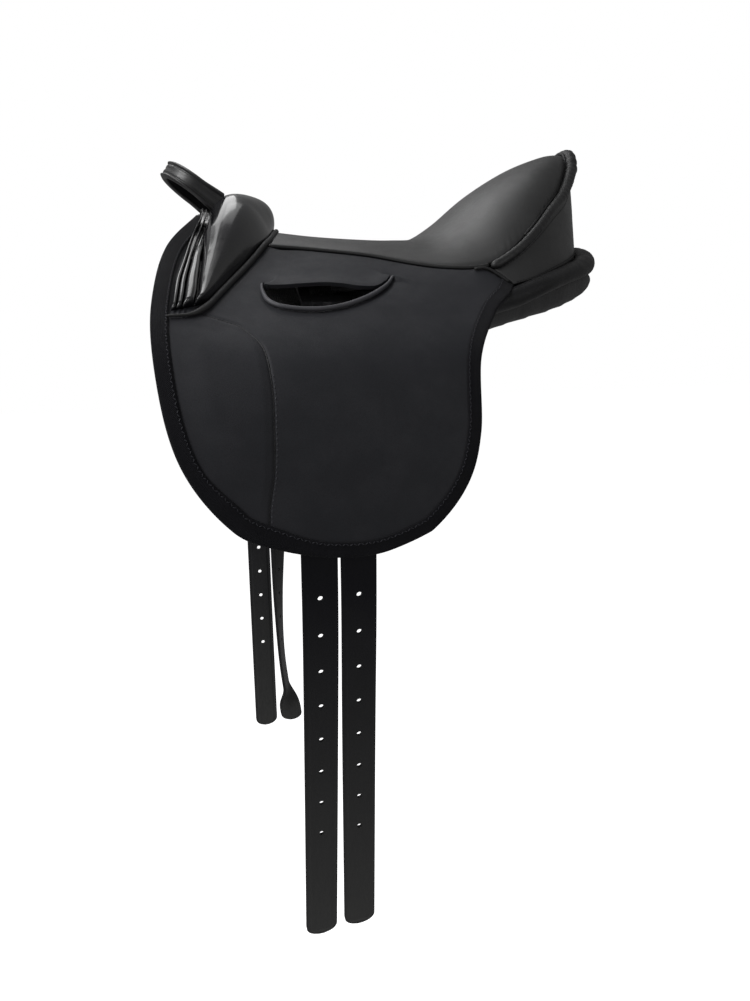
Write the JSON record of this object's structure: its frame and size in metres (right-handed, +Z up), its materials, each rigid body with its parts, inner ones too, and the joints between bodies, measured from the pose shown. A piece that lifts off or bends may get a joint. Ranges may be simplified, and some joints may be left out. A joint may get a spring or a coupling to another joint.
{
  "type": "lead line saddle",
  "caption": "Small child's lead line saddle with a patent pommel and grab handle, padded seat and cantle, bound flaps with stirrup slots, flocked panels and hanging girth billets.",
  "frame": {"origin": "on the median plane in the channel between the panels, a little ahead of the lowest place of the seat, where a saddle rack carries the saddle", "axes": "+Z up along the hanging billets, +X from pommel to cantle, -Y to the near (left) side of the pony"},
  "size_m": [0.3913, 0.4054, 0.6246],
  "materials": {
    "billet_leather": "matte",
    "edge_binding": "matte",
    "flap_leather": "matte",
    "flocked_panel": "matte",
    "foam": "matte",
    "patent_leather": "polished",
    "piping_leather": "satin",
    "seat_leather": "satin",
    "steel": "satin",
    "tree_resin": "matte",
    "webbing": "matte"
  },
  "bodies": {
    "saddle": {"cantle_gusset": "seat_leather", "cantle_rim_piping": "piping_leather", "cantle_roll": "piping_leather", "far_catch_pin": "steel", "far_flap_binding_front": "edge_binding", "far_flap_binding_rear": "edge_binding", "far_flap_upper": "flap_leather", "far_front_billet_web": "webbing", "far_panel": "flocked_panel", "far_rear_billet_web": "webbing", "far_seat_welt": "piping_leather", "far_skirt_piping": "piping_leather", "far_slot_lip": "piping_leather", "far_stirrup_bar": "steel", "gullet_plate": "steel", "near_catch_pin": "steel", "near_flap_binding_front": "edge_binding", "near_flap_binding_rear": "edge_binding", "near_flap_upper": "flap_leather", "near_front_billet_web": "webbing", "near_panel": "flocked_panel", "near_rear_billet_web": "webbing", "near_seat_welt": "piping_leather", "near_skirt_piping": "piping_leather", "near_slot_lip": "piping_leather", "near_stirrup_bar": "steel", "pommel_cover": "patent_leather", "pommel_foam": "foam", "pommel_front_piping": "patent_leather", "pommel_rear_piping": "piping_leather", "seat_cover": "seat_leather", "seat_foam": "foam", "tree": "tree_resin", "tree_head": "tree_resin"},
    "near_flap": {"near_flap": "flap_leather", "near_flap_binding": "edge_binding"},
    "near_front_billet": {"near_front_billet": "billet_leather"},
    "near_rear_billet": {"near_rear_billet": "billet_leather"},
    "near_bar_catch": {"near_bar_catch": "steel"},
    "far_flap": {"far_flap": "flap_leather", "far_flap_binding": "edge_binding"},
    "far_front_billet": {"far_front_billet": "billet_leather"},
    "far_rear_billet": {"far_rear_billet": "billet_leather"},
    "far_bar_catch": {"far_bar_catch": "steel"},
    "handle": {"handle_strap": "patent_leather"}
  },
  "joints": [
    {"name": "near_flap_lift", "type": "hinge", "parent": "saddle", "child": "near_flap", "pos_m": [-0.07491, -0.18285, -0.05146], "axis": [-1, 0, 0], "range_deg": [0, 75]},
    {"name": "near_front_billet_swing", "type": "hinge", "parent": "saddle", "child": "near_front_billet", "pos_m": [-0.085, -0.172, -0.0573], "axis": [1, 0, 0], "range_deg": [-1.5, 18]},
    {"name": "near_rear_billet_swing", "type": "hinge", "parent": "saddle", "child": "near_rear_billet", "pos_m": [-0.058, -0.172, -0.0573], "axis": [1, 0, 0], "range_deg": [-1.5, 18]},
    {"name": "near_bar_catch_flip", "type": "hinge", "parent": "saddle", "child": "near_bar_catch", "pos_m": [-0.037, -0.09959, -0.00933], "axis": [0, -0.8752, -0.4838], "range_deg": [0, 35]},
    {"name": "far_flap_lift", "type": "hinge", "parent": "saddle", "child": "far_flap", "pos_m": [-0.07491, 0.18285, -0.05146], "axis": [1, 0, 0], "range_deg": [0, 75]},
    {"name": "far_front_billet_swing", "type": "hinge", "parent": "saddle", "child": "far_front_billet", "pos_m": [-0.085, 0.172, -0.0573], "axis": [-1, 0, 0], "range_deg": [-6, 14]},
    {"name": "far_rear_billet_swing", "type": "hinge", "parent": "saddle", "child": "far_rear_billet", "pos_m": [-0.058, 0.172, -0.0573], "axis": [-1, 0, 0], "range_deg": [-6, 14]},
    {"name": "far_bar_catch_flip", "type": "hinge", "parent": "saddle", "child": "far_bar_catch", "pos_m": [-0.037, 0.09959, -0.00933], "axis": [0, -0.8752, 0.4838], "range_deg": [0, 35]},
    {"name": "handle_flex", "type": "hinge", "parent": "saddle", "child": "handle", "pos_m": [-0.13882, 0, 0.07062], "axis": [0, 1, 0], "range_deg": [-10, 15], "stiffness_Nm_per_rad": 0.6}
  ]
}
